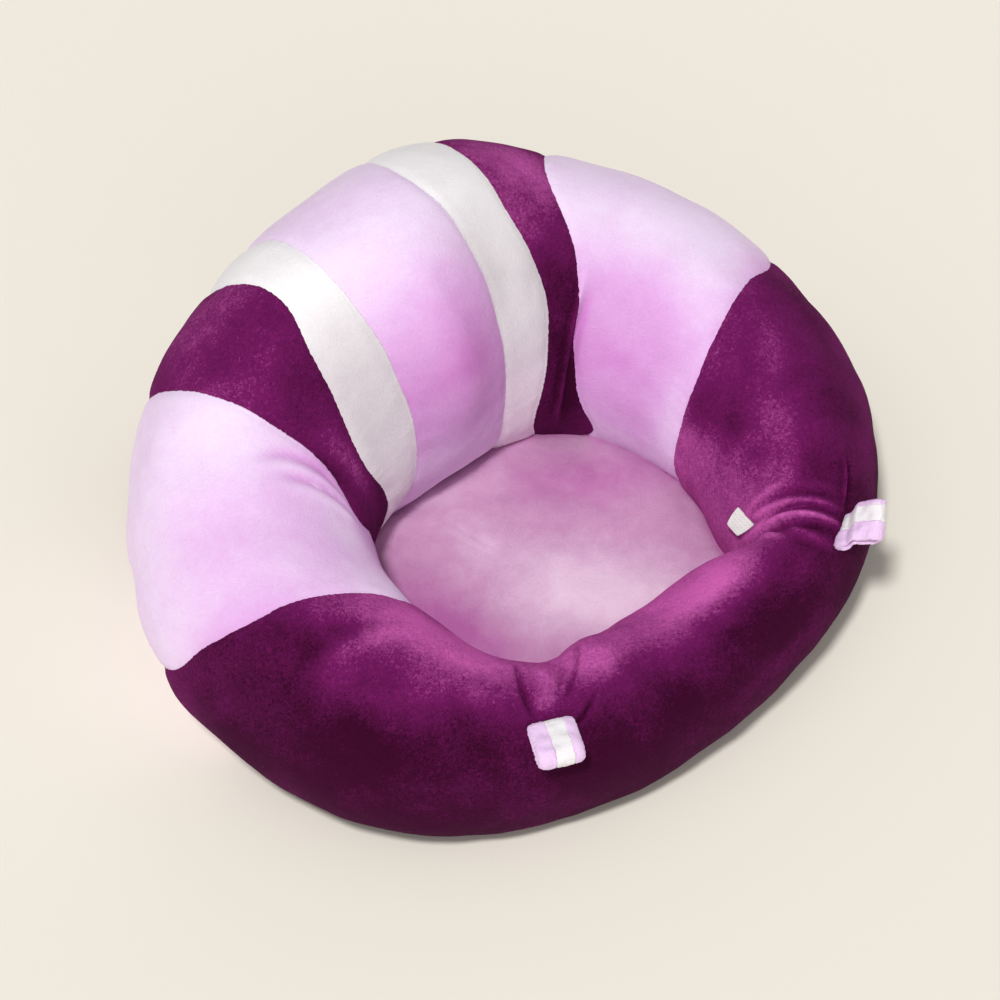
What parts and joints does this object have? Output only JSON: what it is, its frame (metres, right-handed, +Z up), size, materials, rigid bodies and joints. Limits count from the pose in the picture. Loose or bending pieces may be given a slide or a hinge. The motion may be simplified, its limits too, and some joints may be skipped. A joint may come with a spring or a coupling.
{
  "type": "plush baby support seat",
  "caption": "Ring-shaped plush floor seat for a baby learning to sit: a stuffed tube, tall behind and low in front, round a soft pad, with toy loops and a zip underneath.",
  "frame": {"origin": "on the floor under the middle of the seat's bounding box", "axes": "+Z up, -Y towards the low front bar, +Y towards the tall back, +X to the right as seen from the front"},
  "size_m": [0.451, 0.387, 0.223],
  "materials": {
    "velvet_dark": "dark purple short-pile velvet",
    "velvet_lilac": "pale lilac short-pile velvet",
    "velvet_white": "off-white short-pile velvet",
    "velvet_pad": "pinkish lilac short-pile velvet",
    "under_cloth": "plain dark purple woven cloth",
    "fibre": "white polyester fibre",
    "woven_tape": "blank white woven tape",
    "zip_nylon": "dyed nylon",
    "zip_metal": "nickel-plated"
  },
  "bodies": {
    "seat": {"front_centre_panel": "velvet_dark", "front_corner_panel_left": "velvet_dark", "front_corner_panel_right": "velvet_dark", "side_panel_left": "velvet_lilac", "side_panel_right": "velvet_lilac", "back_dark_panel_left": "velvet_dark", "back_dark_panel_right": "velvet_dark", "back_stripe_left": "velvet_white", "back_stripe_right": "velvet_white", "back_centre_panel": "velvet_lilac", "front_stuffing": "fibre", "ring_stuffing": "fibre", "pinch_tape_left": "woven_tape", "pinch_tape_right": "woven_tape", "pad_top_cover": "velvet_pad", "pad_wadding": "fibre", "pad_under_cover_front": "under_cloth", "pad_under_cover_rear": "under_cloth", "zip_tape_front": "zip_nylon", "zip_tape_rear": "zip_nylon", "zip_coil_front": "zip_nylon", "zip_coil_rear": "zip_nylon", "zip_end_stops": "zip_metal"},
    "toy_loop_left": {"loop_white_band_left": "velvet_white", "loop_lilac_bands_left": "velvet_lilac"},
    "toy_loop_right": {"loop_white_band_right": "velvet_white", "loop_lilac_bands_right": "velvet_lilac"},
    "zip_slider": {"zip_slider": "zip_metal"},
    "zip_pull": {"zip_pull_tab": "zip_metal"},
    "care_label": {"care_label": "woven_tape"}
  },
  "joints": [
    {"name": "toy_loop_left_flap", "type": "hinge", "parent": "seat", "child": "toy_loop_left", "pos_m": [-0.1068, -0.15916, 0.10272], "axis": [-0.9336, 0.3584, 0], "range_deg": [-20, 80], "stiffness_Nm_per_rad": 0.01},
    {"name": "toy_loop_right_flap", "type": "hinge", "parent": "seat", "child": "toy_loop_right", "pos_m": [0.11308, -0.16673, 0.0943], "axis": [-0.8192, -0.5736, 0], "range_deg": [-30, 75], "stiffness_Nm_per_rad": 0.01},
    {"name": "zip_slide", "type": "slide", "parent": "seat", "child": "zip_slider", "axis": [1, 0, 0], "range_m": [-0.1047, 0]},
    {"name": "zip_pull_swing", "type": "hinge", "parent": "zip_slider", "child": "zip_pull", "pos_m": [0.0502, -0.04271, 0.0037], "axis": [0, -1, 0], "range_deg": [0, 100]},
    {"name": "care_label_flap", "type": "hinge", "parent": "seat", "child": "care_label", "pos_m": [0.08453, -0.11423, 0.08284], "axis": [0.1944, 0.7919, 0.579], "range_deg": [-10, 60], "stiffness_Nm_per_rad": 0.002}
  ]
}
